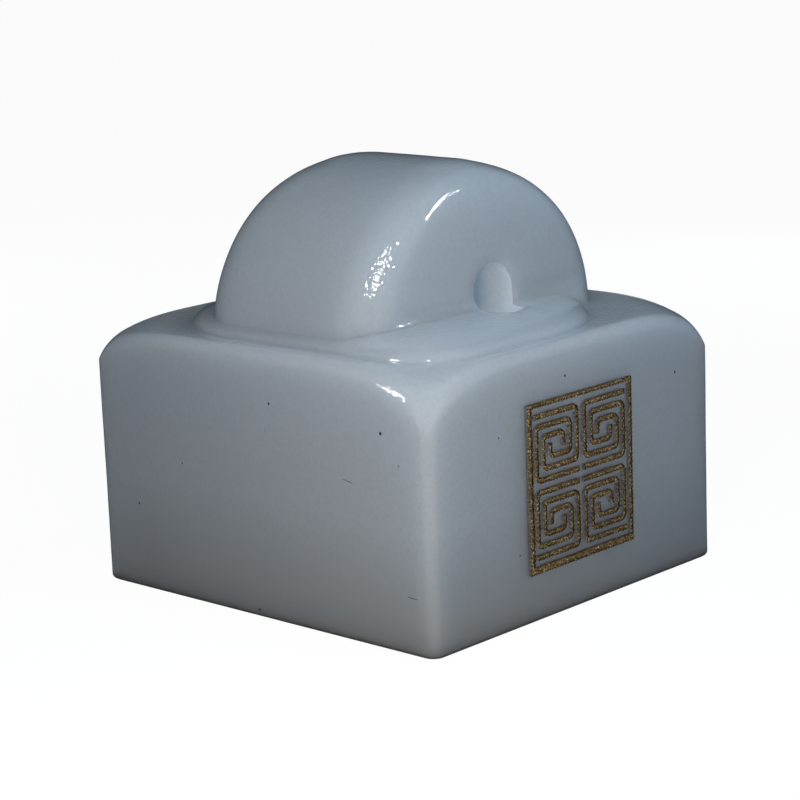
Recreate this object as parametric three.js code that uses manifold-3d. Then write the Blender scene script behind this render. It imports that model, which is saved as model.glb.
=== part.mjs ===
// A seal stamp carved from one piece of white jade: a square block under an arched knob.
// A cord hole runs through the knob, a gilt fret panel is set into one side, and the same fret is
// cut into the printing face underneath.
// Millimetres, +Z up. The origin is the middle of the printing face, and the gilt panel faces -Y.

import * as THREE from "three";
import { mergeVertices } from "three/addons/utils/BufferGeometryUtils.js";
import Module from "manifold-3d";

// Block. Values in square brackets are one for each corner, counterclockwise from the +X +Y one.
const BLOCK_WIDTH = 50.0; // along X, the way the gilt panel runs
const BLOCK_DEPTH = 53.0; // along Y, the way the cord hole runs
const BLOCK_HEIGHT = 31.1; // from the printing face to the level top round the knob
const BASE_EDGE_RADIUS = 0.6;
const UPRIGHT_EDGE_RADIUS = 1.3;
const SHOULDER_RADIUS = 1.5; // rolls the four sides over into the top
const SHOULDER_CORNER_RADIUS = 2.8; // plan radius of the corners where the shoulder meets the top
const CORNER_DROPS = [3.6, 3.0, 5.0, 4.3]; // how far polishing has brought the top's corners down
const CORNER_DROP_START = 1.1; // squared distance, in half widths, at which that fall begins

// Knob
const KNOB_HEIGHT = 18.6; // above the level top
const KNOB_SHIFT = 0.7; // towards +X
const SIDE_SETBACK = 3.9; // from the block's X sides to the foot of the knob's flanks
const END_SETBACK = 13.1; // from the block's Y sides to the knob's holed ends
const ARCH_CURVE = 1.88; // power of the arch seen from the ends
const CREST_CURVE = 5.5; // power of the flatter crest seen from the flanks
const KNOB_EDGE_RADIUS = 5.0; // rounds the edges between the flanks and the holed ends
const SIDE_SKIRT_SPREAD = 0.3; // the hollow under each flank
const END_SKIRT_SPREAD = 2.8; // the hollow under each holed end
const SKIRT_EDGE_SPREAD = 5.6; // what the hollows add to the radius of the knob's edges
const SKIRT_RISE = 3.6;
const SKIRT_CURVE = 1.8; // power of the curve that a hollow follows

// Plinth under the knob, a low cushion that the carver left a little off centre
const PLINTH_SIDE_SETBACK = 5.4; // from the block's X sides, before the shift
const PLINTH_END_SETBACK = 3.2; // from the block's Y sides, before the shift
const PLINTH_SHIFT_X = -1.9;
const PLINTH_SHIFT_Y = -0.9;
const PLINTH_RISE = 2.1;
const PLINTH_ROUND_DEPTH = 9.0; // how far in from its edge the plinth still rises
const PLINTH_ROUND_CURVE = 2.2;
const PLINTH_CORNER_RADII = [16.0, 16.0, 7.0, 19.6];
const PLINTH_SMALLEST_RADIUS = 1.0;

// Cord hole
const HOLE_DIAMETER = 6.6;
const HOLE_SHIFT = 0.8; // from the knob's middle towards +X
const HOLE_RISE = 3.7; // from the level top to the hole's centre line
const HOLE_RUN_OUT = 4.6; // how far outside each holed end the drill's groove fades out

// Gilt panel, near the middle of the flat part of the -Y side
const PANEL_WIDTH = 18.6;
const PANEL_HEIGHT = 19.4;
const PANEL_SHIFT = 0.5; // towards +X
const PANEL_LIFT = 0.1; // and upwards
const PANEL_FRAME_LINE = 0.7;
const PANEL_SILL_LINE = 0.95; // the frame's bottom line is the thickest
const PANEL_FRET_MARGIN = 0.55; // from the frame to the fret
const PANEL_CELL_GAP = 0.75;
const PANEL_FRET_LINE = 0.68;
const PANEL_GROOVE_DEPTH = 0.4;
const GILT_THICKNESS = 0.3;
const GILT_CLEARANCE = 0.04; // from the gilding to the groove walls

// Fret cut into the printing face
const FACE_MARGIN = 2.6; // plain rim round the cut border
const FACE_BORDER_LINE = 1.3;
const FACE_FRET_MARGIN = 1.5;
const FACE_CELL_GAP = 2.2;
const FACE_FRET_LINE = 1.5;
const FACE_CUT_DEPTH = 0.6;

// Fineness of the faceted surfaces
const CORNER_STEPS = 6;
const SIDE_STEPS = 8;
const BASE_EDGE_STEPS = 2;
const SHOULDER_STEPS = 4;
const TOP_STEPS = 3;
const PLINTH_STEPS = 6;
const SKIRT_STEPS = 2;
const ARCH_STEPS = 11;
const RUN_OUT_STEPS = 4;
const HOLE_SEGMENTS = 32;
const BEND_SEGMENTS = 1; // a bend of a fret line gets twice as many facets
const CUTTER_OVERHANG = 1.0; // how far a cutter stands out of the stone
const LARGEST_CORNER_SHARE = 0.92; // of a half width, that a corner radius may take

// The two interlocked lines of a fret cell, on a square grid of lanes.
const LANE_COUNT = 6;
const FRET_LINES = [
  [[6, 6], [0, 6], [0, 1], [5, 1], [5, 4], [2, 4], [2, 3]],
  [[0, 0], [6, 0], [6, 5], [1, 5], [1, 2], [4, 2], [4, 3]],
];

const { lerp } = THREE.MathUtils;
const halfWidth = BLOCK_WIDTH / 2;
const halfDepth = BLOCK_DEPTH / 2;

const wasm = await Module();
wasm.setup();

// A closed geometry as a solid for joining and cutting.
function solidOf(geometry) {
  const bare = geometry.clone();
  bare.deleteAttribute("normal");
  bare.deleteAttribute("uv");
  const merged = mergeVertices(bare);
  const mesh = new wasm.Mesh({
    numProp: 3,
    vertProperties: new Float32Array(merged.attributes.position.array),
    triVerts: new Uint32Array(merged.index.array),
  });
  return new wasm.Manifold(mesh);
}

// A solid as a geometry with a normal for each facet.
function geometryOf(solid) {
  const mesh = solid.getMesh();
  const indexed = new THREE.BufferGeometry();
  indexed.setAttribute("position", new THREE.BufferAttribute(mesh.vertProperties, 3));
  indexed.setIndex(new THREE.BufferAttribute(mesh.triVerts, 1));
  const faceted = indexed.toNonIndexed();
  faceted.computeVertexNormals();
  return faceted;
}

// A rectangle with round corners, counterclockwise, with the same number of points at any size.
function roundedOutline(halfX, halfY, radius) {
  const r = Math.min(radius, LARGEST_CORNER_SHARE * halfX, LARGEST_CORNER_SHARE * halfY);
  const arcs = [[1, 1], [-1, 1], [-1, -1], [1, -1]].map(([signX, signY], corner) => {
    const centre = new THREE.Vector2(signX * (halfX - r), signY * (halfY - r));
    return Array.from({ length: CORNER_STEPS + 1 }, (_, step) => {
      const angle = (Math.PI / 2) * (corner + step / CORNER_STEPS);
      return new THREE.Vector2(Math.cos(angle), Math.sin(angle)).multiplyScalar(r).add(centre);
    });
  });
  return arcs.flatMap((arc, corner) => {
    const sideStart = arc[CORNER_STEPS];
    const sideEnd = arcs[(corner + 1) % arcs.length][0];
    const side = Array.from({ length: SIDE_STEPS - 1 }, (_, step) =>
      sideStart.clone().lerp(sideEnd, (step + 1) / SIDE_STEPS),
    );
    return [...arc, ...side];
  });
}

// The value for the corner that lies in the same quarter of the plan as a place.
function atCorner(values, { x, y }) {
  const near = x >= 0 ? values[3] : values[2];
  const far = x >= 0 ? values[0] : values[1];
  return y >= 0 ? far : near;
}

// How far the polished top lies below its level at a point of the plan.
function topDrop(x, y) {
  const reach = (x / halfWidth) ** 2 + (y / halfDepth) ** 2;
  const share = Math.max(0, reach - CORNER_DROP_START) / (2 - CORNER_DROP_START);
  return atCorner(CORNER_DROPS, { x, y }) * share ** 2;
}

// A ring of points: an outline in plan, with its height as a function of the place.
function ring(outline, heightAt) {
  return outline.map((p) => new THREE.Vector3(p.x, p.y, heightAt(p.x, p.y)));
}

// The knob with the hollows at its foot: its half sizes and edge radius at a height above the
// level top.
function knobSection(rise) {
  const share = rise / KNOB_HEIGHT;
  const flank = (1 - share ** ARCH_CURVE) ** (1 / ARCH_CURVE);
  const end = (1 - share ** CREST_CURVE) ** (1 / CREST_CURVE);
  const hollow = Math.max(0, 1 - rise / SKIRT_RISE) ** SKIRT_CURVE;
  return {
    halfX: (halfWidth - SIDE_SETBACK) * flank + SIDE_SKIRT_SPREAD * hollow,
    halfY: (halfDepth - END_SETBACK) * end + END_SKIRT_SPREAD * hollow,
    edgeRadius: KNOB_EDGE_RADIUS + SKIRT_EDGE_SPREAD * hollow,
  };
}

// From the plinth's middle to its edge along a direction, at an inset from its foot.
function plinthReach(direction, inset) {
  const fullRadius = atCorner(PLINTH_CORNER_RADII, direction);
  const radius = Math.max(fullRadius - inset, PLINTH_SMALLEST_RADIUS);
  const halfX = halfWidth - PLINTH_SIDE_SETBACK - inset;
  const halfY = halfDepth - PLINTH_END_SETBACK - inset;
  const way = new THREE.Vector2(Math.abs(direction.x), Math.abs(direction.y)).normalize();
  const corner = new THREE.Vector2(halfX - radius, halfY - radius);
  const reach = Math.min(halfX / way.x, halfY / way.y);
  if (reach * way.x <= corner.x || reach * way.y <= corner.y) {
    return reach;
  }
  const along = way.dot(corner);
  return along + Math.sqrt(along ** 2 - corner.lengthSq() + radius ** 2);
}

// The knob's outline at a height above the level top, pushed out to the plinth where that is wider.
function knobOutline(rise) {
  const { halfX, halfY, edgeRadius } = knobSection(rise);
  const knob = roundedOutline(halfX, halfY, edgeRadius);
  if (rise >= PLINTH_RISE) {
    return knob.map((p) => new THREE.Vector2(p.x + KNOB_SHIFT, p.y));
  }
  const share = (rise / PLINTH_RISE) ** PLINTH_ROUND_CURVE;
  const inset = PLINTH_ROUND_DEPTH * (1 - (1 - share) ** (1 / PLINTH_ROUND_CURVE));
  const middle = new THREE.Vector2(PLINTH_SHIFT_X, PLINTH_SHIFT_Y);
  return knob.map((p) => {
    const arm = new THREE.Vector2(p.x + KNOB_SHIFT, p.y).sub(middle);
    return arm.setLength(Math.max(arm.length(), plinthReach(arm, inset))).add(middle);
  });
}

// All rings of the stone's outer surface, from the printing face to the crest.
function stoneRings() {
  const rings = [];
  for (let step = 0; step <= BASE_EDGE_STEPS; step++) {
    const angle = ((Math.PI / 2) * step) / BASE_EDGE_STEPS;
    const inset = BASE_EDGE_RADIUS * (1 - Math.sin(angle));
    const height = BASE_EDGE_RADIUS * (1 - Math.cos(angle));
    const outline = roundedOutline(halfWidth - inset, halfDepth - inset, UPRIGHT_EDGE_RADIUS);
    rings.push(ring(outline, () => height));
  }
  for (let step = 0; step <= SHOULDER_STEPS; step++) {
    const angle = ((Math.PI / 2) * step) / SHOULDER_STEPS;
    const inset = SHOULDER_RADIUS * (1 - Math.cos(angle));
    const fall = SHOULDER_RADIUS * (1 - Math.sin(angle));
    const radius = lerp(UPRIGHT_EDGE_RADIUS, SHOULDER_CORNER_RADIUS, Math.sin(angle));
    const outline = roundedOutline(halfWidth - inset, halfDepth - inset, radius);
    rings.push(ring(outline, (x, y) => BLOCK_HEIGHT - topDrop(x, y) - fall));
  }
  const shoulderTop = rings[rings.length - 1];
  const foot = knobOutline(0);
  for (let step = 1; step <= TOP_STEPS; step++) {
    const share = step / TOP_STEPS;
    const outline = foot.map((p, i) => new THREE.Vector2().lerpVectors(shoulderTop[i], p, share));
    rings.push(ring(outline, (x, y) => BLOCK_HEIGHT - topDrop(x, y)));
  }
  for (const rise of knobRises()) {
    const drop = Math.max(0, 1 - rise / SKIRT_RISE);
    rings.push(ring(knobOutline(rise), (x, y) => BLOCK_HEIGHT + rise - drop * topDrop(x, y)));
  }
  return rings;
}

// Heights of the knob's rings above the level top, closer together towards each rounded top.
function knobRises() {
  const quarterTurn = (steps, from, height) =>
    Array.from({ length: steps }, (_, step) => {
      const start = Math.asin(from / height);
      return height * Math.sin(lerp(start, Math.PI / 2, (step + 1) / steps));
    });
  const plinth = quarterTurn(PLINTH_STEPS, 0, PLINTH_RISE);
  const hollow = Array.from({ length: SKIRT_STEPS }, (_, step) =>
    lerp(PLINTH_RISE, SKIRT_RISE, (step + 1) / SKIRT_STEPS),
  );
  const arch = quarterTurn(ARCH_STEPS, SKIRT_RISE, KNOB_HEIGHT);
  return [...plinth, ...hollow, ...arch.slice(0, -1)];
}

// The surface through a stack of rings, closed by a flat base and a crest point.
function loft(rings, crest) {
  const count = rings[0].length;
  const positions = [...rings.flat(), new THREE.Vector3(0, 0, rings[0][0].z), crest];
  const baseCentre = rings.length * count;
  const crestPoint = baseCentre + 1;
  const lastRing = baseCentre - count;
  const triangles = [];
  for (let i = 0; i < count; i++) {
    const j = (i + 1) % count;
    triangles.push(baseCentre, j, i, lastRing + i, lastRing + j, crestPoint);
    for (let low = 0; low < lastRing; low += count) {
      const high = low + count;
      triangles.push(low + i, low + j, high + j, low + i, high + j, high + i);
    }
  }
  const geometry = new THREE.BufferGeometry().setFromPoints(positions);
  geometry.setIndex(triangles);
  return geometry;
}

// The cord hole's cutter, turned about its own line: straight through the knob, with a round nose
// outside each holed end, where the drill ran out over the plinth.
function holeCutter() {
  const radius = HOLE_DIAMETER / 2;
  const mouth = halfDepth - END_SETBACK;
  const nose = Array.from({ length: RUN_OUT_STEPS + 1 }, (_, step) => {
    const angle = ((Math.PI / 2) * step) / RUN_OUT_STEPS;
    return new THREE.Vector2(radius * Math.sin(angle), -mouth - HOLE_RUN_OUT * Math.cos(angle));
  });
  nose[0].x = 0;
  const far = nose.map((p) => new THREE.Vector2(p.x, -p.y)).reverse();
  const cutter = new THREE.LatheGeometry([...nose, ...far], HOLE_SEGMENTS);
  return cutter.translate(KNOB_SHIFT + HOLE_SHIFT, 0, BLOCK_HEIGHT + HOLE_RISE);
}

// The right-hand edge of a line of a given half width that follows a path with square bends.
function traceEdge(shape, path, half, bend) {
  const directions = path.slice(1).map((p, i) => p.clone().sub(path[i]).normalize());
  for (let i = 1; i < directions.length; i++) {
    const [from, to] = [directions[i - 1], directions[i]];
    const left = from.cross(to) > 0;
    const side = left ? 1 : -1;
    const centre = path[i].clone().addScaledVector(from, -bend).addScaledVector(to, bend);
    const startAngle = Math.atan2(-from.x * side, from.y * side);
    const endAngle = Math.atan2(-to.x * side, to.y * side);
    shape.absarc(centre.x, centre.y, bend + side * half, startAngle, endAngle, !left);
  }
  const last = directions[directions.length - 1];
  const end = path[path.length - 1];
  const angle = Math.atan2(-last.x, last.y);
  shape.absarc(end.x, end.y, half, angle, angle + Math.PI / 2, false);
  shape.absarc(end.x, end.y, half, angle + Math.PI / 2, angle + Math.PI, false);
}

// A line with round bends and round ends, as a flat shape.
function lineShape(path, width, bend) {
  const shape = new THREE.Shape();
  traceEdge(shape, path, width / 2, bend);
  traceEdge(shape, [...path].reverse(), width / 2, bend);
  return shape;
}

// A rectangular border whose bottom line may be thicker than the other three.
function borderShape({ left, right, bottom, top }, line, sill, inset) {
  const rectangle = (path, x0, y0, x1, y1) =>
    path.moveTo(x0, y0).lineTo(x1, y0).lineTo(x1, y1).lineTo(x0, y1).closePath();
  const shape = new THREE.Shape();
  const opening = new THREE.Path();
  rectangle(shape, left + inset, bottom + inset, right - inset, top - inset);
  const [x0, x1] = [left + line - inset, right - line + inset];
  const [y0, y1] = [bottom + sill - inset, top - line + inset];
  rectangle(opening, x0, y0, x1, y1);
  shape.holes.push(opening);
  return shape;
}

// The fret lines of the four cells inside a border, each with the name of its cell.
function fretLines(inner, line, gap) {
  const cellWidth = (inner.right - inner.left - gap) / 2;
  const cellHeight = (inner.top - inner.bottom - gap) / 2;
  const laneX = (cellWidth - line) / LANE_COUNT;
  const laneY = (cellHeight - line) / LANE_COUNT;
  const cells = [
    { name: "lower_left", column: 0, row: 0 },
    { name: "lower_right", column: 1, row: 0 },
    { name: "upper_left", column: 0, row: 1 },
    { name: "upper_right", column: 1, row: 1 },
  ];
  return cells.flatMap(({ name, column, row }) =>
    FRET_LINES.map((lanes, index) => ({
      name: `${name}_${index + 1}`,
      path: lanes.map(([laneAcross, laneUp]) => {
        const across = column === row ? laneAcross : LANE_COUNT - laneAcross;
        return new THREE.Vector2(
          inner.left + column * (cellWidth + gap) + line / 2 + across * laneX,
          inner.bottom + row * (cellHeight + gap) + line / 2 + laneUp * laneY,
        );
      }),
      bend: Math.min(laneX, laneY) / 2,
    })),
  );
}

function insetBox({ left, right, bottom, top }, line, sill, margin) {
  return {
    left: left + line + margin,
    right: right - line - margin,
    bottom: bottom + sill + margin,
    top: top - line - margin,
  };
}

function extrude(shape, depth) {
  return new THREE.ExtrudeGeometry(shape, {
    depth,
    bevelEnabled: false,
    curveSegments: BEND_SEGMENTS,
  });
}

// Stands a flat design up on the -Y side: its depth then runs from a level inside the stone outwards.
function onFront(geometry, innerLevel) {
  const turn = new THREE.Matrix4().makeBasis(
    new THREE.Vector3(1, 0, 0),
    new THREE.Vector3(0, 0, 1),
    new THREE.Vector3(0, -1, 0),
  );
  return geometry.applyMatrix4(turn).translate(0, innerLevel, 0);
}

const flatSideMiddle = (BASE_EDGE_RADIUS + BLOCK_HEIGHT - SHOULDER_RADIUS) / 2;
const panel = {
  left: PANEL_SHIFT - PANEL_WIDTH / 2,
  right: PANEL_SHIFT + PANEL_WIDTH / 2,
  bottom: flatSideMiddle + PANEL_LIFT - PANEL_HEIGHT / 2,
  top: flatSideMiddle + PANEL_LIFT + PANEL_HEIGHT / 2,
};
const panelInner = insetBox(panel, PANEL_FRAME_LINE, PANEL_SILL_LINE, PANEL_FRET_MARGIN);
const panelLines = fretLines(panelInner, PANEL_FRET_LINE, PANEL_CELL_GAP);
const grooveFloor = -halfDepth + PANEL_GROOVE_DEPTH;

// The panel's flat shapes, with the lines drawn in by a clearance on each side.
function panelShapes(clearance) {
  const width = PANEL_FRET_LINE - 2 * clearance;
  const frame = borderShape(panel, PANEL_FRAME_LINE, PANEL_SILL_LINE, clearance);
  const lines = panelLines.map(({ name, path, bend }) => ({
    name: `gilt_fret_${name}`,
    shape: lineShape(path, width, bend),
  }));
  return [{ name: "gilt_frame", shape: frame }, ...lines];
}

const face = {
  left: -halfWidth + FACE_MARGIN,
  right: halfWidth - FACE_MARGIN,
  bottom: -halfDepth + FACE_MARGIN,
  top: halfDepth - FACE_MARGIN,
};

// The flat shapes cut into the printing face.
function faceShapes() {
  const inner = insetBox(face, FACE_BORDER_LINE, FACE_BORDER_LINE, FACE_FRET_MARGIN);
  const lines = fretLines(inner, FACE_FRET_LINE, FACE_CELL_GAP);
  return [
    borderShape(face, FACE_BORDER_LINE, FACE_BORDER_LINE, 0),
    ...lines.map(({ path, bend }) => lineShape(path, FACE_FRET_LINE, bend)),
  ];
}

// The stone: the lofted outside, less the cord hole, the panel's grooves and the printing fret.
function sealBody() {
  const crest = new THREE.Vector3(KNOB_SHIFT, 0, BLOCK_HEIGHT + KNOB_HEIGHT);
  let stone = solidOf(loft(stoneRings(), crest));
  stone = stone.subtract(solidOf(holeCutter()));
  for (const { shape } of panelShapes(0)) {
    const depth = PANEL_GROOVE_DEPTH + CUTTER_OVERHANG;
    stone = stone.subtract(solidOf(onFront(extrude(shape, depth), grooveFloor)));
  }
  for (const shape of faceShapes()) {
    const depth = FACE_CUT_DEPTH + CUTTER_OVERHANG;
    stone = stone.subtract(solidOf(extrude(shape, depth).translate(0, 0, -CUTTER_OVERHANG)));
  }
  return geometryOf(stone);
}

const jade = new THREE.MeshStandardMaterial({ color: 0xa9b6bf, roughness: 0.22, metalness: 0 });
const gilding = new THREE.MeshStandardMaterial({ color: 0xa8874a, roughness: 0.55, metalness: 0.85 });

const seal = new THREE.Group();

function addPiece(name, geometry, material) {
  const mesh = new THREE.Mesh(geometry, material);
  mesh.name = name;
  seal.add(mesh);
}

addPiece("seal_body", sealBody(), jade);
for (const { name, shape } of panelShapes(GILT_CLEARANCE)) {
  addPiece(name, onFront(extrude(shape, GILT_THICKNESS), grooveFloor), gilding);
}

export default seal;
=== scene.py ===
"""A jade seal stamp: a square stone block under an arched, drilled knob, with a gilt fret panel on one side.

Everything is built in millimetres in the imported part's frame, and turned into metres when it becomes a mesh.
"""

import logging
import math
from collections.abc import Callable, Sequence
from dataclasses import dataclass, field
from enum import Enum

import bmesh
import bpy
import numpy as np
from mathutils import Matrix, Vector, noise


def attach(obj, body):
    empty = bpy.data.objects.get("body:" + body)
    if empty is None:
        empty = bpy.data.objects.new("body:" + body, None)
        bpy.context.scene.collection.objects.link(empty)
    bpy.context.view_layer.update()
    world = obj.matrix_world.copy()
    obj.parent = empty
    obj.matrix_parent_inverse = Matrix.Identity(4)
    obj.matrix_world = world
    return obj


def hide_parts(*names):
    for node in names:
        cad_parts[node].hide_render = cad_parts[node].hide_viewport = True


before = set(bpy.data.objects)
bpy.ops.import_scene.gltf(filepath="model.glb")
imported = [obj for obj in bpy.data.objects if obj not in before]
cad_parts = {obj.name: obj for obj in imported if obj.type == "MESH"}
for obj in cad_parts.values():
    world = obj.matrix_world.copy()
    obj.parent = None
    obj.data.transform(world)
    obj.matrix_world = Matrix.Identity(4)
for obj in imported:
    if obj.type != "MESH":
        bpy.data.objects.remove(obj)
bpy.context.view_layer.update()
LOG = logging.getLogger("seal_stamp")

MM = 0.001
BODY = "root"
Points = np.ndarray
Span = tuple[float, float]
Place = tuple[float, float, float]
Tint = tuple[float, float, float]
Colour = tuple[float, float, float, float]
Quarters = tuple[float, float, float, float]


class Slot(Enum):
    """Material slots of the record."""

    STONE = "white_jade"
    GILDING = "gilding"


class Side(Enum):
    """The flat side of the block that a design is drawn on."""

    FRONT = "front"
    UNDER = "under"


# Node trees

FINE_GRAIN = 3.7
SPECK_EDGE = 3.0


@dataclass
class Sheet:
    """A node tree that is being drawn."""

    tree: bpy.types.NodeTree

    def node(self, kind: str, inputs: dict | None = None, **settings: object) -> bpy.types.Node:
        """Adds a node.

        Args:
            kind: Blender's name for the node type.
            inputs: Values or output sockets, by the name or number of the input that they go to.
            settings: Properties of the node itself.

        Returns:
            The new node.
        """
        made = self.tree.nodes.new(kind)
        for name, value in settings.items():
            setattr(made, name, value)
        self.feed(made, inputs or {})
        return made

    def feed(self, node: bpy.types.Node, inputs: dict) -> None:
        """Sets a node's inputs to values, or links output sockets to them.

        Args:
            node: The node.
            inputs: Values or output sockets, by the name or number of the input.
        """
        for name, value in inputs.items():
            if isinstance(value, bpy.types.NodeSocket):
                self.tree.links.new(value, node.inputs[name])
            else:
                node.inputs[name].default_value = value

    def math(
        self, operation: str, first: object, second: object, clamp: bool = False
    ) -> bpy.types.NodeSocket:
        """Adds a Math node and returns its output."""
        made = self.node("ShaderNodeMath", {0: first, 1: second}, operation=operation, use_clamp=clamp)
        return made.outputs[0]

    def spread(self, value: object, given: Span, wanted: Span) -> bpy.types.NodeSocket:
        """Maps a given range of values to the wanted one, clamped, and returns the output."""
        ends = {"From Min": given[0], "From Max": given[1], "To Min": wanted[0], "To Max": wanted[1]}
        return self.node("ShaderNodeMapRange", {"Value": value, **ends}).outputs["Result"]

    def mix(self, factor: object, first: object, second: object) -> bpy.types.NodeSocket:
        """Mixes two colours and returns the output."""
        made = self.node("ShaderNodeMix", {"Factor": factor, 6: first, 7: second}, data_type="RGBA")
        return made.outputs[2]

    def noise(self, place: object, scale: object, detail: float) -> bpy.types.NodeSocket:
        """Adds a Noise Texture and returns its value."""
        made = self.node("ShaderNodeTexNoise", {"Vector": place, "Scale": scale, "Detail": detail})
        return made.outputs[0]

    def bump(self, strength: object, depth: float, height: object) -> bpy.types.NodeSocket:
        """Adds a Bump node of a depth in metres and returns its normal."""
        made = self.node("ShaderNodeBump", {"Strength": strength, "Distance": depth, "Height": height})
        return made.outputs[0]

    def group(self, tree: bpy.types.NodeTree, *values: object) -> bpy.types.NodeSocket:
        """Places a shader group, fills its inputs in their order and returns its first output."""
        return self.node("ShaderNodeGroup", dict(enumerate(values)), node_tree=tree).outputs[0]


def new_group(name: str, inputs: dict[str, float], output: str) -> tuple:
    """Starts a shader node group that turns coordinates and some numbers into one value.

    Args:
        name: The group's name.
        inputs: The default of each input number, by name.
        output: The name of the value that it puts out.

    Returns:
        The tree, a sheet to draw it on, its group input node and its group output node.
    """
    tree = bpy.data.node_groups.new(name, "ShaderNodeTree")
    tree.interface.new_socket("Coordinates", in_out="INPUT", socket_type="NodeSocketVector")
    for title, value in inputs.items():
        tree.interface.new_socket(title, in_out="INPUT", socket_type="NodeSocketFloat").default_value = value
    tree.interface.new_socket(output, in_out="OUTPUT", socket_type="NodeSocketFloat")
    sheet = Sheet(tree)
    return tree, sheet, sheet.node("NodeGroupInput"), sheet.node("NodeGroupOutput")


def grain_group() -> bpy.types.NodeTree:
    """Builds the group for fine grain: two sizes of noise in one height, from 0 to 1.

    Returns:
        The group.
    """
    tree, sheet, given, result = new_group("fine_grain", {"Scale": 1000.0, "Fine Share": 0.5}, "Height")
    place, scale, share = given.outputs[:3]
    coarse = sheet.noise(place, scale, 2.0)
    fine = sheet.noise(place, sheet.math("MULTIPLY", scale, FINE_GRAIN), 1.0)
    height = sheet.node("ShaderNodeMix", {0: share, 2: coarse, 3: fine})
    sheet.feed(result, {"Height": height.outputs[0]})
    return tree


def specks_group() -> bpy.types.NodeTree:
    """Builds the group for scattered specks: a mask that is 1 inside a speck.

    Returns:
        The group.
    """
    inputs = {"Scale": 500.0, "Share": 0.2, "Size": 0.1}
    tree, sheet, given, result = new_group("specks", inputs, "Mask")
    place, scale, share, size = given.outputs[:4]
    cells = sheet.node("ShaderNodeTexVoronoi", {"Vector": place, "Scale": scale})
    pick = sheet.node("ShaderNodeSeparateColor", {0: cells.outputs["Color"]})
    chosen = sheet.math("LESS_THAN", pick.outputs[0], share)
    reach = sheet.math("MULTIPLY", size, pick.outputs[1])
    edge = sheet.math("SUBTRACT", reach, cells.outputs["Distance"])
    soft = sheet.math("DIVIDE", edge, size)
    inside = sheet.math("MULTIPLY", soft, SPECK_EDGE, clamp=True)
    sheet.feed(result, {"Mask": sheet.math("MULTIPLY", inside, chosen)})
    return tree


@dataclass(frozen=True)
class SharedGroups:
    """The shader node groups that more than one finish uses."""

    grain: bpy.types.NodeTree
    specks: bpy.types.NodeTree


def new_material(name: str) -> tuple[bpy.types.Material, Sheet, bpy.types.NodeSocket, bpy.types.Node]:
    """Starts a material.

    Args:
        name: The material's name.

    Returns:
        The material, a sheet to draw it on, the Object coordinates and its Principled shader.
    """
    material = bpy.data.materials.new(name)
    material.use_nodes = True
    material.node_tree.nodes.clear()
    sheet = Sheet(material.node_tree)
    place = sheet.node("ShaderNodeTexCoord").outputs["Object"]
    shader = sheet.node("ShaderNodeBsdfPrincipled")
    sheet.node("ShaderNodeOutputMaterial", {"Surface": shader.outputs[0]})
    return material, sheet, place, shader


@dataclass(frozen=True)
class JadeFinish:
    """Hand-polished pale jade, made greyer and darker towards its foot by painted shade.

    It has very faint clouds, rare dark specks, and a clear waxy shine that fine grain breaks up.
    """

    name: str = "pale_jade"
    body: Colour = (0.470, 0.520, 0.560, 1.0)
    cloud: Colour = (0.500, 0.550, 0.590, 1.0)
    mote: Colour = (0.430, 0.470, 0.500, 1.0)
    speck: Colour = (0.080, 0.075, 0.070, 1.0)
    # Painted shade: the darker colour that the jade takes on near the printing face.
    foot: Colour = (0.375, 0.400, 0.415, 1.0)
    cloud_scale: float = 60.0
    mote_scale: float = 1900.0
    mote_range: Span = (0.45, 0.8)
    specks: tuple[float, float, float] = (240.0, 0.06, 0.06)
    coat_bend: float = 1.61
    foot_shade_height: float = 0.014
    polish: Span = (0.07, 0.12)
    polish_scale: float = 120.0
    polish_range: Span = (0.25, 0.75)
    grain_scale: float = 2300.0
    grain_depth: float = 0.00012
    scuffing: Span = (0.12, 0.36)
    scuff_range: Span = (0.42, 0.58)
    worn_place: Place = (-0.0161, -0.0118, 0.0396)
    worn_reach: Span = (0.0030, 0.0085)
    depth_of_glow: float = 0.0140

    def material(self, groups: SharedGroups) -> bpy.types.Material:
        """Builds the material from the shared groups.

        Args:
            groups: The shared shader groups.

        Returns:
            The material.
        """
        material, sheet, place, shader = new_material(self.name)
        clouded = sheet.mix(sheet.noise(place, self.cloud_scale, 1.0), self.body, self.cloud)
        motes = sheet.group(groups.grain, place, self.mote_scale)
        mottled = sheet.mix(sheet.spread(motes, self.mote_range, (0.0, 1.0)), clouded, self.mote)
        height = sheet.node("ShaderNodeSeparateXYZ", {0: place}).outputs["Z"]
        # Painted shade: the colour darkens towards the foot of the block.
        foot_shaded = sheet.mix(sheet.spread(height, (0.0, self.foot_shade_height), (1.0, 0.0)), mottled, self.foot)
        stained = sheet.mix(sheet.group(groups.specks, place, *self.specks), foot_shaded, self.speck)
        patches = sheet.noise(place, self.polish_scale, 0.0)
        scuffed = sheet.spread(patches, self.scuff_range, self.scuffing)
        away = sheet.node("ShaderNodeVectorMath", {0: place, 1: self.worn_place}, operation="DISTANCE")
        worn = sheet.spread(away.outputs["Value"], self.worn_reach, (1.0, 0.0))
        grain = sheet.noise(place, self.grain_scale, 0.0)
        sheet.feed(
            shader,
            {
                "Base Color": stained,
                "Coat Roughness": sheet.spread(patches, self.polish_range, self.polish),
                "Coat Normal": sheet.bump(sheet.math("MAXIMUM", scuffed, worn), self.grain_depth, grain),
                "Coat Weight": 1.0,
                "Coat IOR": self.coat_bend,
                "Roughness": 0.5,
                "Specular IOR Level": 0.0,
                "Subsurface Weight": 1.0,
                "Subsurface Radius": (0.85, 0.95, 1.0),
                "Subsurface Scale": self.depth_of_glow,
            },
        )
        return material


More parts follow.
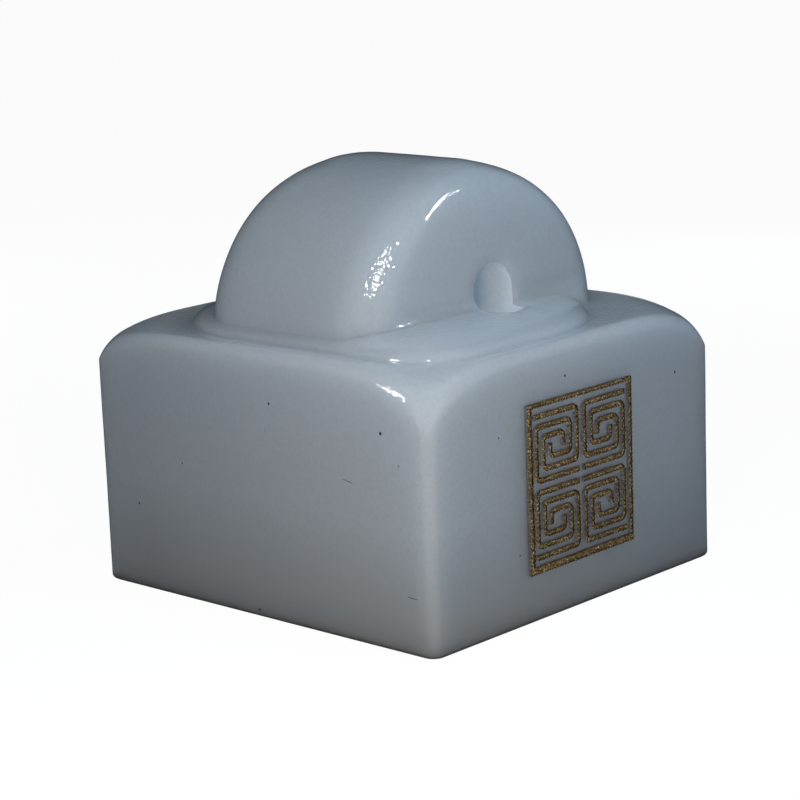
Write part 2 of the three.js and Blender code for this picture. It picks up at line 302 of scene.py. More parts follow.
# A paler, less polished copy of the jade for the hole's walls. Its paleness is painted light that offsets the
# shade inside the hole.
HOLE_JADE_PAINTED_LIGHT = JadeFinish(
    name="hole_jade_painted_light",
    body=(0.790, 0.860, 0.920, 1.0),
    cloud=(0.820, 0.890, 0.950, 1.0),
    mote=(0.700, 0.770, 0.840, 1.0),
    polish=(0.18, 0.25),
)


@dataclass(frozen=True)
class DustAndShadeFinish:
    """Near-black colour in pits and scratches: partly dirt caught in them, partly painted shade."""

    name: str = "dust_and_painted_shade"
    dust_and_shade: Colour = (0.030, 0.030, 0.032, 1.0)
    crumb: Colour = (0.090, 0.080, 0.070, 1.0)
    grain_scale: float = 9000.0
    grain_range: Span = (0.3, 0.7)
    roughness: Span = (0.7, 0.95)

    def material(self, groups: SharedGroups) -> bpy.types.Material:
        """Builds the material from the shared groups.

        Args:
            groups: The shared shader groups.

        Returns:
            The material.
        """
        material, sheet, place, shader = new_material(self.name)
        grain = sheet.group(groups.grain, place, self.grain_scale)
        rough = sheet.spread(grain, self.grain_range, self.roughness)
        sheet.feed(shader, {"Base Color": sheet.mix(grain, self.dust_and_shade, self.crumb), "Roughness": rough})
        return material


@dataclass(frozen=True)
class GiltFinish:
    """Granular antique gold paint: brown in its hollows, and pale gold where the glint attribute is set, which
    is a painted highlight for the crumbs' glints.
    """

    name: str = "gilt_paint"
    gold: Colour = (0.560, 0.350, 0.120, 1.0)
    dull: Colour = (0.110, 0.060, 0.020, 1.0)
    # Painted highlight: the pale colour that the glinting crumbs get in place of real glints.
    bright: Colour = (1.000, 0.880, 0.580, 1.0)
    metal: float = 0.35
    crumb_metal: float = 0.15
    roughness: Span = (0.60, 0.28)
    rough_range: Span = (0.35, 0.65)
    tone_range: Span = (0.42, 0.60)
    grain_scale: float = 4600.0
    grain_depth: float = 0.00004
    glint: str = "glint"

    def material(self, groups: SharedGroups) -> bpy.types.Material:
        """Builds the material from the shared groups.

        Args:
            groups: The shared shader groups.

        Returns:
            The material.
        """
        material, sheet, place, shader = new_material(self.name)
        grain = sheet.group(groups.grain, place, self.grain_scale)
        paint = sheet.mix(sheet.spread(grain, self.tone_range, (0.0, 1.0)), self.dull, self.gold)
        # Painted highlight: crumbs marked with the glint attribute turn pale gold.
        shine = sheet.node("ShaderNodeAttribute", attribute_name=self.glint).outputs["Fac"]
        sheet.feed(
            shader,
            {
                "Base Color": sheet.mix(shine, paint, self.bright),
                "Roughness": sheet.spread(grain, self.rough_range, self.roughness),
                "Metallic": sheet.spread(shine, (0.0, 1.0), (self.metal, self.crumb_metal)),
                "Normal": sheet.bump(1.0, self.grain_depth, grain),
            },
        )
        return material


# Dark brown for the groove walls: partly gilding left in the grooves, partly painted shade of the grooves.
GROOVE_RESIDUE_AND_SHADE = GiltFinish(
    name="groove_residue_and_shade",
    gold=(0.150, 0.095, 0.040, 1.0),
    dull=(0.070, 0.042, 0.018, 1.0),
    metal=0.1,
)


@dataclass(frozen=True)
class FloorFinish:
    """Matt pale paper that the camera sees bright, like a sweep that is lit on its own."""

    name: str = "pale_floor"
    colour: Colour = (0.07, 0.07, 0.07, 1.0)
    seen_glow: float = 0.96
    grain_scale: float = 900.0
    grain_depth: float = 0.00005

    def material(self, groups: SharedGroups) -> bpy.types.Material:
        """Builds the material from the shared groups.

        Args:
            groups: The shared shader groups.

        Returns:
            The material.
        """
        material, sheet, place, shader = new_material(self.name)
        grain = sheet.group(groups.grain, place, self.grain_scale)
        seen = sheet.node("ShaderNodeLightPath").outputs["Is Camera Ray"]
        sheet.feed(
            shader,
            {
                "Base Color": self.colour,
                "Roughness": 0.95,
                "Specular IOR Level": 0.1,
                "Normal": sheet.bump(0.2, self.grain_depth, grain),
                "Emission Color": (1.0, 1.0, 1.0, 1.0),
                "Emission Strength": sheet.math("MULTIPLY", seen, self.seen_glow),
            },
        )
        return material


# Meshes


def new_mesh_object(name: str, points: Points, faces: Sequence[Sequence[int]]) -> bpy.types.Object:
    """Makes an object from points in millimetres.

    Args:
        name: The object's name.
        points: One row of x, y and z for each point.
        faces: The numbers of each face's points.

    Returns:
        The object, in the scene, in metres.
    """
    mesh = bpy.data.meshes.new(name)
    mesh.from_pydata((np.asarray(points) * MM).tolist(), [], [tuple(face) for face in faces])
    mesh.validate()
    made = bpy.data.objects.new(name, mesh)
    bpy.context.scene.collection.objects.link(made)
    return made


def face_outwards(target: bpy.types.Object) -> None:
    """Makes all faces of a closed mesh point outwards.

    Args:
        target: The object.
    """
    sheet = bmesh.new()
    sheet.from_mesh(target.data)
    bmesh.ops.recalc_face_normals(sheet, faces=sheet.faces)
    sheet.to_mesh(target.data)
    sheet.free()


def settle(target: bpy.types.Object) -> None:
    """Replaces an object's mesh by its evaluated one and takes its modifiers off.

    Args:
        target: The object.
    """
    graph = bpy.context.evaluated_depsgraph_get()
    result = bpy.data.meshes.new_from_object(target.evaluated_get(graph))
    old = target.data
    target.modifiers.clear()
    target.data = result
    bpy.data.meshes.remove(old)


def remove(target: bpy.types.Object) -> None:
    """Deletes a helper object and its mesh.

    Args:
        target: The object.
    """
    mesh = target.data
    bpy.data.objects.remove(target)
    bpy.data.meshes.remove(mesh)


def grid_faces(rows: int, columns: int, closed: bool) -> list[tuple[int, int, int, int]]:
    """Lists the quads of a grid of points.

    Args:
        rows: How many rows of points there are.
        columns: How many points a row has.
        closed: Whether each row closes on itself.

    Returns:
        The quads, counterclockwise when rows go up and columns go left to right.
    """
    last = columns if closed else columns - 1
    return [
        (
            row * columns + column,
            row * columns + (column + 1) % columns,
            (row + 1) * columns + (column + 1) % columns,
            (row + 1) * columns + column,
        )
        for row in range(rows - 1)
        for column in range(last)
    ]


def capped_faces(rows: int, count: int) -> list[tuple[int, ...]]:
    """Lists the faces of closed rings whose ends run together in two last points.

    Args:
        rows: How many rings there are.
        count: How many points a ring has.

    Returns:
        The faces, with the lower tip numbered before the upper one.
    """
    faces: list[tuple[int, ...]] = list(grid_faces(rows, count, closed=True))
    last, low, high = (rows - 1) * count, rows * count, rows * count + 1
    faces += [(low, (i + 1) % count, i) for i in range(count)]
    faces += [(high, last + i, last + (i + 1) % count) for i in range(count)]
    return faces


# The stone


@dataclass
class SealStone:
    """The carved stone, with its knob, cord hole, panel grooves and printing fret. Sizes in millimetres."""

    width: float = 50.0
    depth: float = 53.0
    height: float = 31.1
    base_edge: float = 0.6
    upright_edge: float = 1.3
    shoulder: float = 1.5
    shoulder_corner: float = 2.8
    corner_drops: Quarters = (3.6, 3.0, 5.0, 4.3)
    corner_drop_start: float = 1.1

    knob_height: float = 18.6
    knob_shift: float = 0.7
    side_setback: float = 3.9
    end_setback: float = 13.1
    arch_curve: float = 1.88
    crest_curve: float = 5.5
    knob_edge: float = 5.0
    skirt_spread: Span = (0.3, 2.8)
    skirt_edge_spread: float = 5.6
    skirt_rise: float = 3.6
    skirt_curve: float = 1.8

    plinth_setback: Span = (5.4, 3.2)
    plinth_middle: Span = (-1.9, -0.9)
    plinth_rise: float = 2.1
    plinth_round_depth: float = 9.0
    plinth_round_curve: float = 2.2
    plinth_corners: Quarters = (16.0, 16.0, 7.0, 19.6)
    foot_hollow: float = 0.25
    join_softness: float = 0.03

    hole_radius: float = 3.3
    hole_middle: Span = (1.5, 34.8)
    hole_run_out: float = 4.6
    hole_wobble: float = 0.03
    hole_wobble_scale: float = 1.5
    hole_wobble_pitch: float = 6.0
    hole_steps: int = 96
    shaft_end: float = 13.3
    shaft_rings: int = 28
    nose_rings: int = 24
    mouth_round: Span = (0.35, 1.3)
    mouth_wear_way: float = 50.0
    wear_start: float = 8.0
    wear_drop: float = 1.0
    lip_top: float = 33.7
    lip_reach: float = 1.2
    lip_start: float = 0.8
    lip_rubs: int = 8

    corner_limit: float = 0.92
    corner_steps: int = 12
    side_steps: int = 40
    side_crowding: float = 1.4
    unevenness: float = 0.06
    wave_lengths: Span = (9.0, 3.7)
    short_wave_share: float = 0.4
    even_foot: float = 2.0
    sharp_angle: float = 38.0
    base_rings: int = 5
    side_rings: int = 29
    shoulder_rings: int = 11
    top_rings: int = 9
    hollow_rings: int = 7
    plinth_rings: int = 22
    mouth_rings: int = 33
    crest_rings: int = 30
    mouth_rings_top: float = 8.5
    last_ring: float = 0.9996

    def build(self, groups: SharedGroups, cutters: list[bpy.types.Object]) -> bpy.types.Object:
        """Makes the stone.

        Args:
            groups: The shared shader groups.
            cutters: Closed meshes to take out of it, which this deletes.

        Returns:
            The stone's object.
        """
        stone = self._outside()
        stone.data.materials.append(JadeFinish().material(groups))
        hole = self._hole_cutter()
        # The hole's walls get the paler jade: painted light against the shade in the hole.
        hole.data.materials.append(HOLE_JADE_PAINTED_LIGHT.material(groups))
        for cutter in [hole, *cutters]:
            cut = stone.modifiers.new("cut", "BOOLEAN")
            cut.operation = "DIFFERENCE"
            cut.solver = "EXACT"
            cut.material_mode = "TRANSFER"
            cut.object = cutter
            settle(stone)
            remove(cutter)
        self._soften_lips(stone)
        stone.data.shade_smooth()
        stone.data.set_sharp_from_angle(angle=math.radians(self.sharp_angle))
        return stone

    def _soften_lips(self, stone: bpy.types.Object) -> None:
        """Rubs the edges of the hole's mouths and the gutters in front of them smooth.

        Args:
            stone: The stone, with the hole cut.
        """
        sheet = bmesh.new()
        sheet.from_mesh(stone.data)
        near = []
        for vertex in sheet.verts:
            x, y, z = (value / MM for value in vertex.co)
            away = abs(math.hypot(x - self.hole_middle[0], z - self.hole_middle[1]) - self.hole_radius)
            if abs(y) > self._mouth() + self.lip_start and away < self.lip_reach and z < self.lip_top:
                near.append(vertex)
        ways = {f"use_axis_{axis}": True for axis in "xyz"}
        for _ in range(self.lip_rubs):
            bmesh.ops.smooth_vert(sheet, verts=near, factor=0.5, **ways)
        sheet.to_mesh(stone.data)
        sheet.free()

    def _outline(self, half_x: float, half_y: float, radius: float) -> Points:
        """A rectangle with round corners, counterclockwise, with closer points mid-side.

        Args:
            half_x: Half its size along X.
            half_y: Half its size along Y.
            radius: The radius of its corners.

        Returns:
            One row of x and y for each point.
        """
        r = min(radius, self.corner_limit * half_x, self.corner_limit * half_y)
        arcs = []
        for corner, (sign_x, sign_y) in enumerate(((1, 1), (-1, 1), (-1, -1), (1, -1))):
            angle = math.pi / 2 * (corner + np.linspace(0, 1, self.corner_steps + 1))
            arc = np.column_stack([np.cos(angle), np.sin(angle)]) * r
            arcs.append(arc + (sign_x * (half_x - r), sign_y * (half_y - r)))
        across = 2 * np.arange(1, self.side_steps) / self.side_steps - 1
        share = 0.5 + 0.5 * np.sign(across) * np.abs(across) ** self.side_crowding
        pieces = []
        for corner, arc in enumerate(arcs):
            following = arcs[(corner + 1) % 4][0]
            pieces += [arc, arc[-1] + (following - arc[-1]) * share[:, None]]
        return np.concatenate(pieces)

    def _top_drop(self, x: Points, y: Points) -> Points:
        """How far the polished top lies below its level at points of the plan.

        Args:
            x: Places along X.
            y: Places along Y.

        Returns:
            The drop at each place.
        """
        reach = (x / (self.width / 2)) ** 2 + (y / (self.depth / 2)) ** 2
        share = np.clip(reach - self.corner_drop_start, 0, None) / (2 - self.corner_drop_start)
        return self._at_corner(self.corner_drops, x, y) * share**2

    @staticmethod
    def _at_corner(values: Sequence[float], x: Points, y: Points) -> Points:
        """For each place, the value of the corner in its quarter, counted counterclockwise from +X +Y."""
        quarter = np.where(y >= 0, np.where(x >= 0, 0, 1), np.where(x >= 0, 3, 2))
        return np.array(values)[quarter]

    def _knob_section(self, rise: float) -> tuple[float, float, float]:
        """The size of the knob, with the hollows at its foot, at a height above the top.

        Args:
            rise: The height above the top of the block.

        Returns:
            Half sizes along X and Y, and the radius of the upright edges.
        """
        share = rise / self.knob_height
        flank = (1 - share**self.arch_curve) ** (1 / self.arch_curve)
        end = (1 - share**self.crest_curve) ** (1 / self.crest_curve)
        hollow = max(0.0, 1 - rise / self.skirt_rise) ** self.skirt_curve
        half_x = (self.width / 2 - self.side_setback) * flank + self.skirt_spread[0] * hollow
        half_y = (self.depth / 2 - self.end_setback) * end + self.skirt_spread[1] * hollow
        return half_x, half_y, self.knob_edge + self.skirt_edge_spread * hollow

    def _plinth_reach(self, ways: Points, inset: float) -> Points:
        """How far the plinth reaches from its middle.

        Args:
            ways: One direction of length 1 in each row.
            inset: How far in from its foot the plinth is measured.

        Returns:
            The distance along each direction.
        """
        radius = np.maximum(self._at_corner(self.plinth_corners, *ways.T) - inset, 1.0)
        half = np.array([self.width, self.depth]) / 2 - self.plinth_setback - inset
        across = np.abs(ways)
        corner = half - radius[:, None]
        reach = (half / np.maximum(across, 1e-9)).min(1)
        along = (across * corner).sum(1)
        bend = along + np.sqrt(np.maximum(along**2 - (corner**2).sum(1) + radius**2, 0))
        in_corner = (across * reach[:, None] > corner).all(1)
        return np.where(in_corner, bend, reach)

    def _knob_outline(self, rise: float) -> Points:
        """The knob's outline at a height above the top, pushed out to the plinth where that is wider.

        Args:
            rise: The height above the top of the block.

        Returns:
            One row of x and y for each point.
        """
        outline = self._outline(*self._knob_section(rise)) + (self.knob_shift, 0)
        if rise >= self.plinth_rise:
            return outline
        share = (rise / self.plinth_rise) ** self.plinth_round_curve
        inset = self.plinth_round_depth * (1 - (1 - share) ** (1 / self.plinth_round_curve))
        arms = outline - self.plinth_middle
        length = np.linalg.norm(arms, axis=1)
        ratio = self._plinth_reach(arms / length[:, None], inset) / length
        blend = np.clip(0.5 + 0.5 * (ratio - 1) / self.join_softness, 0, 1)
        stretch = 1 + (ratio - 1) * blend + self.join_softness * blend * (1 - blend)
        low = max(0.0, self.foot_hollow - rise)
        hollow = self.foot_hollow - math.sqrt(self.foot_hollow**2 - low**2)
        return arms * (stretch + hollow / length)[:, None] + self.plinth_middle

    def _rings(self) -> list[Points]:
        """All rings of the outer surface, from the printing face to the crest.

        Returns:
            For each ring, one row of x, y and z for each point.
        """
        half_x, half_y = self.width / 2, self.depth / 2
        rings: list[Points] = []

        def ring(outline: Points, height: Callable) -> None:
            """Adds one ring, whose height is a function of the place."""
            rings.append(np.column_stack([outline, height(*outline.T)]))

        for angle in np.linspace(0, math.pi / 2, self.base_rings):
            inset = self.base_edge * (1 - math.sin(angle))
            level = self.base_edge * (1 - math.cos(angle))
            outline = self._outline(half_x - inset, half_y - inset, self.upright_edge)
            ring(outline, lambda x, y: np.full_like(x, level))
        side_top = self.height - self.shoulder
        outline = self._outline(half_x, half_y, self.upright_edge)
        tall = side_top - self._top_drop(*outline.T) - self.base_edge
        for share in np.linspace(0, 1, self.side_rings)[1:]:
            ring(outline, lambda x, y: self.base_edge + tall * share)
        for angle in np.linspace(0, math.pi / 2, self.shoulder_rings)[1:]:
            inset = self.shoulder * (1 - math.cos(angle))
            fall = self.shoulder * (1 - math.sin(angle))
            radius = self.upright_edge + (self.shoulder_corner - self.upright_edge) * math.sin(angle)
            outline = self._outline(half_x - inset, half_y - inset, radius)
            ring(outline, lambda x, y: self.height - self._top_drop(x, y) - fall)
        foot = self._knob_outline(0)
        for share in np.linspace(0, 1, self.top_rings)[1:]:
            ring(outline + (foot - outline) * share, lambda x, y: self.height - self._top_drop(x, y))
        for rise in self._knob_rises():
            drop = max(0.0, 1 - rise / self.skirt_rise)
            ring(self._knob_outline(rise), lambda x, y: self.height + rise - drop * self._top_drop(x, y))
        return rings

    def _knob_rises(self) -> list[float]:
        """Heights of the knob's rings above the top, closer at the foot, the mouths and the crest.

        Returns:
            The heights, from the foot up.
        """
        quarter, top = math.pi / 2, self.mouth_rings_top
        foot = self.foot_hollow * (1 - np.cos(np.linspace(0, quarter, self.hollow_rings)[1:]))
        start = math.asin(self.foot_hollow / self.plinth_rise)
        plinth = self.plinth_rise * np.sin(np.linspace(start, quarter, self.plinth_rings)[1:])
        mouths = np.linspace(self.plinth_rise, top, self.mouth_rings)[1:]
        angles = np.linspace(math.asin(top / self.knob_height), quarter, self.crest_rings)[1:-1]
        crest = self.knob_height * np.sin(angles)
        return [*foot, *plinth, *mouths, *crest, self.knob_height * self.last_ring]

    def _outside(self) -> bpy.types.Object:
        """The closed outer surface, slightly uneven, with the hole's mouths already worn.

        Returns:
            Its object.
        """
        rings = self._rings()
        tips = [[0, 0, 0], [self.knob_shift, 0, self.height + self.knob_height]]
        points = np.concatenate([*rings, tips])
        stone = new_mesh_object("seal_stone", points, capped_faces(len(rings), len(rings[0])))
        normals = np.array([vertex.normal for vertex in stone.data.vertices])
        points = points - normals * (self._ripple(points) + self._mouth_fall(points))[:, None]
        stone.data.vertices.foreach_set("co", (points * MM).astype(np.float32).ravel())
        stone.data.update()
        return stone

    def _ripple(self, points: Points) -> Points:
        """How far hand polishing has brought each point in, which is nothing at the printing face.

        Args:
            points: One row of x, y and z for each point.

        Returns:
            The depth at each point.
        """
        long, short = self.wave_lengths
        less = self.short_wave_share
        waves = [noise.noise(Vector(p) / long) + less * noise.noise(Vector(p) / short) for p in points]
        amount = self.unevenness * (0.5 + 0.5 * np.clip(waves, -1, 1))
        return amount * np.clip(points[:, 2] / self.even_foot, 0, 1)

    def _mouth_fall(self, points: Points) -> Points:
        """How far each point near a mouth of the hole is worn down, most at the mouth's upper right.

        Args:
            points: One row of x, y and z for each point.

        Returns:
            The depth at each point.
        """
        across = points[:, 0] - self.hole_middle[0]
        up = points[:, 2] - self.hole_middle[1]
        gap = np.hypot(across, up) - self._hole_radius_at(np.abs(points[:, 1]))
        towards = np.cos(np.arctan2(up, across) - math.radians(self.mouth_wear_way))
        least, most = self.mouth_round
        width = least + (most - least) * np.clip(towards, 0, 1) ** 2
        share = np.clip(1 - gap / width, 0, 1)
        fall = np.where(gap < width, least * (1 - np.sqrt(np.clip(1 - share**2, 0, 1))), 0)
        at_end = (np.abs(points[:, 1]) > self.wear_start) & (points[:, 2] > self.height - self.wear_drop)
        return np.where(at_end, fall, 0)

    def _hole_radius_at(self, along: Points) -> Points:
        """The hole's radius at a distance along it from the middle."""
        outside = np.clip((along - self._mouth()) / self.hole_run_out, 0, 1)
        return self.hole_radius * np.sqrt(1 - outside**2)

    def _mouth(self) -> float:
        """How far from the middle each mouth of the hole is."""
        return self.depth / 2 - self.end_setback

    def _hole_cutter(self) -> bpy.types.Object:
        """The shape of the drilled hole, with a round nose where the drill ran out over the plinth.

        Returns:
            Its object.
        """
        count = self.hole_steps
        turn = np.linspace(0, math.pi / 2, self.nose_rings)[:-1]
        nose = self._mouth() + self.hole_run_out * np.sin(turn)
        shaft = np.linspace(-self.shaft_end, self.shaft_end, self.shaft_rings)
        places = np.concatenate([-nose[::-1], shaft, nose])
        angles = np.linspace(0, 2 * math.pi, count, endpoint=False)
        circle = np.column_stack([np.cos(angles), np.sin(angles)])
        rings = []
        for place in places:
            deep = place / self.hole_wobble_pitch
            wobble = [noise.noise(Vector((*way, deep)) * self.hole_wobble_scale) for way in circle]
            radius = self._hole_radius_at(np.abs(place)) + self.hole_wobble * np.array(wobble)
            x, z = (self.hole_middle + circle * radius[:, None]).T
            rings.append(np.column_stack([x, np.full(count, place), z]))
        points = np.concatenate(rings)
        faces: list = grid_faces(len(rings), count, closed=True)
        faces += [tuple(range(count)), tuple(range(len(points) - count, len(points)))]
        cutter = new_mesh_object("hole_cutter", points, faces)
        face_outwards(cutter)
        return cutter


@dataclass(frozen=True)
class Mark:
    """A pit or scratch. Millimetres: its middle, half sizes along X, Y and Z, and its tilt in degrees."""

    middle: Place
    half: Place
    tilt: float = 0.0


@dataclass
class Blemishes:
    """The few pits and hair-thin scratches of a used stone, on all its sides."""

    marks: tuple[Mark, ...] = (
        Mark((-25.0, -2.8, 25.3), (0.14, 0.17, 0.16)),
        Mark((-25.0, -19.7, 24.2), (0.14, 0.16, 0.20)),
        Mark((-25.0, 0.3, 0.9), (0.16, 0.22, 0.16)),
        Mark((-25.0, -14.5, 18.2), (0.06, 1.20, 0.055), 10.0),
        Mark((-25.0, -23.5, 6.6), (0.06, 1.00, 0.055), 4.0),
        Mark((-25.0, 12.0, 16.4), (0.10, 0.12, 0.12)),
        Mark((-2.1, -26.5, 27.1), (0.17, 0.12, 0.17)),
        Mark((18.1, -26.5, 23.8), (0.14, 0.12, 0.18)),
        Mark((-13.6, -26.5, 22.3), (0.10, 0.10, 0.13)),
        Mark((-10.6, -26.5, 8.4), (0.11, 0.10, 0.11)),
        Mark((9.0, 26.5, 18.0), (0.15, 0.12, 0.15)),
        Mark((-7.0, 26.5, 9.0), (1.30, 0.06, 0.055), 0.0),
        Mark((25.0, 8.0, 20.0), (0.12, 0.15, 0.17)),
        Mark((25.0, -11.0, 7.5), (0.06, 1.40, 0.055), -12.0),
    )
    around: int = 12
    along: int = 9

    def cutter(self, dust_and_shade: bpy.types.Material) -> bpy.types.Object:
        """Makes one object of all marks, as small closed bodies whose walls get near-black dirt and painted
        shade.

        Args:
            dust_and_shade: The near-black finish inside the marks, partly dirt and partly painted shade.

        Returns:
            The object.
        """
        points: list = []
        faces: list = []
        turn = np.linspace(0, 2 * math.pi, self.around, endpoint=False)
        rise = np.linspace(-math.pi / 2, math.pi / 2, self.along)[1:-1]
        way = [(math.cos(angle), math.sin(angle)) for angle in turn]
        ball = [(math.cos(r) * x, math.cos(r) * y, math.sin(r)) for r in rise for x, y in way]
        ball += [(0, 0, -1), (0, 0, 1)]
        skin = capped_faces(self.along - 2, self.around)
        for mark in self.marks:
            faces += [tuple(len(points) + i for i in face) for face in skin]
            tilt = Matrix.Rotation(math.radians(mark.tilt), 3, "X")
            points += [Vector(mark.middle) + tilt @ (Vector(p) * Vector(mark.half)) for p in ball]
        made = new_mesh_object("marks", np.array(points), faces)
        made.data.materials.append(dust_and_shade)
        face_outwards(made)
        return made


# Lines cut and gilded


FRET_CELL = (
    ((6, 6), (0, 6), (0, 1), (5, 1), (5, 4), (2, 4), (2, 3)),
    ((0, 0), (6, 0), (6, 5), (1, 5), (1, 2), (4, 2), (4, 3)),
)
LANE_COUNT = 6
CELLS = (("lower_left", 0, 0), ("lower_right", 1, 0), ("upper_left", 0, 1), ("upper_right", 1, 1))


@dataclass(frozen=True)
class Border:
    """A rectangle of lines round a fret. Millimetres, in the plane of the side that it is drawn on."""

    left: float
    right: float
    bottom: float
    top: float
    line: float
    sill: float
    drawn: Quarters

    def inner(self, margin: float) -> Quarters:
        """Left, right, bottom and top of what a margin leaves inside the border."""
        return (
            self.left + self.line + margin,
            self.right - self.line - margin,
            self.bottom + self.sill + margin,
            self.top - self.line - margin,
        )

    def inner_edge(self) -> Quarters:
        """Left, right, bottom and top of the inner edge as it was cut, with uneven line widths."""
        left, right, bottom, top = self.drawn
        return (self.left + left, self.right - right, self.bottom + bottom, self.top - top)


@dataclass(frozen=True)
class Stripe:
    """A line as its two edges, with the same number of points on each."""

    name: str
    right: Points
    left: Points
    closed: bool


@dataclass(frozen=True)
class FretDrawing:
    """Draws a border and the four fret cells inside it as stripes with slightly ragged edges."""

    border: Border
    margin: float
    gap: float
    line: float
    ragged: float
    step: float
    notch: float
    notch_period: float = 0.46
    notch_slant: float = 0.93
    stray_scales: Span = (3.1, 8.0)
    stray_shares: Span = (0.9, 0.8)
    end_reach: float = 0.98
    least_half_width: float = 0.02

    def stripes(self, trim: float = 0.0) -> list[Stripe]:
        """All lines of the design.

        Args:
            trim: How much narrower each line is on both of its edges.

        Returns:
            The border first, then the two lines of each cell.
        """
        return [self._border_stripe(trim), *self._fret_stripes(trim)]

    def _edge_noise(self, points: Points) -> Points:
        """How far each point of an edge strays, from its place alone, so cut and gilding match.

        Args:
            points: One row of across and up for each point.

        Returns:
            The stray of each point.
        """
        (wide, narrow), (much, less) = self.stray_scales, self.stray_shares
        slow = [noise.noise(Vector((x, y, 0.3)) * wide) * much for x, y in points]
        fast = [noise.noise(Vector((x, y, 7.7)) * narrow) * less for x, y in points]
        return self.ragged * (np.array(slow) + fast) + self.notch * self.chatter(points)

    def chatter(self, points: Points) -> Points:
        """The slanting tool marks along the lines, from -1 to 1."""
        slant = points @ (1.0, self.notch_slant)
        return np.sin(2 * math.pi * slant / self.notch_period)

    def _border_stripe(self, trim: float) -> Stripe:
        """The border, whose bottom line is thicker than the others.

        Args:
            trim: How much narrower a line is on both of its edges.

        Returns:
            The stripe.
        """
        b = self.border
        outer = np.array([(b.left, b.bottom), (b.right, b.bottom), (b.right, b.top), (b.left, b.top)])
        x0, x1, y0, y1 = b.inner_edge()
        inner = np.array([(x0, y0), (x1, y0), (x1, y1), (x0, y1)])
        rows = []
        for corners, sign in ((outer, 1), (inner, -1)):
            centre = corners.mean(0)
            edge = []
            for i in range(4):
                start, end = corners[i], corners[(i + 1) % 4]
                count = round(float(np.linalg.norm(outer[(i + 1) % 4] - outer[i])) / self.step)
                share = np.arange(count)[:, None] / count
                run = start + (end - start) * share
                along = (end - start) / np.linalg.norm(end - start)
                outward = np.array([along[1], -along[0]])
                stray = self._edge_noise(run)
                stray[0] = 0
                moved = run + outward * (sign * (stray - trim))[:, None]
                moved[0] = start - np.sign(start - centre) * sign * trim
                edge.append(moved)
            rows.append(np.concatenate(edge))
        return Stripe("frame", rows[0], rows[1], closed=True)

    def _fret_stripes(self, trim: float) -> list[Stripe]:
        """The two interlocked lines of each of the four cells.

        Args:
            trim: How much narrower a line is on both of its edges.

        Returns:
            The stripes.
        """
        left, right, bottom, top = self.border.inner(self.margin)
        cell_x = (right - left - self.gap) / 2
        cell_y = (top - bottom - self.gap) / 2
        lane_x = (cell_x - self.line) / LANE_COUNT
        lane_y = (cell_y - self.line) / LANE_COUNT
        bend = min(lane_x, lane_y) / 2
        stripes = []
        for name, column, row in CELLS:
            x0 = left + column * (cell_x + self.gap) + self.line / 2
            y0 = bottom + row * (cell_y + self.gap) + self.line / 2
            for number, lanes in enumerate(FRET_CELL, start=1):
                turned = [(across if column == row else LANE_COUNT - across, up) for across, up in lanes]
                path = np.array([(x0 + across * lane_x, y0 + up * lane_y) for across, up in turned])
                stripes.append(self._line_stripe(f"fret_{name}_{number}", path, bend, trim))
        return stripes

    def _line_stripe(self, name: str, path: Points, bend: float, trim: float) -> Stripe:
        """One fret line with round bends and round ends.

        Args:
            name: The stripe's name.
            path: The corners of its centre line.
            bend: The radius of the bends on the centre line.
            trim: How much narrower a line is on both of its edges.

        Returns:
            The stripe.
        """
        half = self.line / 2
        centre, side = self._centre_line(path, bend)
        reach = np.concatenate([[0], np.cumsum(np.linalg.norm(np.diff(centre, axis=0), axis=1))])
        total = reach[-1]
        start_cap = np.clip(reach + half, 0, half)
        end_cap = np.clip(total - reach + half, 0, half)
        room = np.minimum(start_cap, end_cap)
        inside = room - trim * (room < half)
        spread = np.sqrt(np.clip(half**2 - (half - inside) ** 2, 1e-6, None))
        rows = []
        for sign in (-1, 1):
            edge = centre + side * (sign * spread)[:, None]
            stray = self._edge_noise(edge) * (room >= half) - trim
            width = np.clip(spread + stray, self.least_half_width, None)
            rows.append(centre + side * (sign * width)[:, None])
        return Stripe(name, rows[0], rows[1], closed=False)

    def _centre_line(self, path: Points, bend: float) -> tuple[Points, Points]:
        """Points along a path with round bends, and with half a line width added at each end.

        Args:
            path: The corners of the centre line.
            bend: The radius of the bends.

        Returns:
            The points, and at each the direction to the left of the line.
        """
        half = self.line / 2
        runs = np.diff(path, axis=0)
        ways = runs / np.linalg.norm(runs, axis=1)[:, None]
        ends = path.copy().astype(float)
        ends[0] -= ways[0] * half * self.end_reach
        ends[-1] += ways[-1] * half * self.end_reach
        points, sides = [], []

        def add(point: Points, way: Points) -> None:
            """Adds one point with the left of its direction."""
            points.append(point)
            sides.append(np.array([-way[1], way[0]]))

        for i, way in enumerate(ways):
            start = ends[i] + way * (bend if i > 0 else 0)
            stop = ends[i + 1] - way * (bend if i < len(ways) - 1 else 0)
            count = max(2, round(float(np.linalg.norm(stop - start)) / self.step))
            for share in np.arange(count) / count:
                add(start + (stop - start) * share, way)
            if i == len(ways) - 1:
                add(stop, way)
                continue
            following = ways[i + 1]
            middle = stop + following * bend
            turn_steps = max(4, round(bend * math.pi / 2 / self.step))
            for share in np.arange(turn_steps) / turn_steps:
                angle = share * math.pi / 2
                add(
                    middle - following * bend * math.cos(angle) + way * bend * math.sin(angle),
                    way * math.cos(angle) + following * math.sin(angle),
                )
        return np.array(points), np.array(sides)


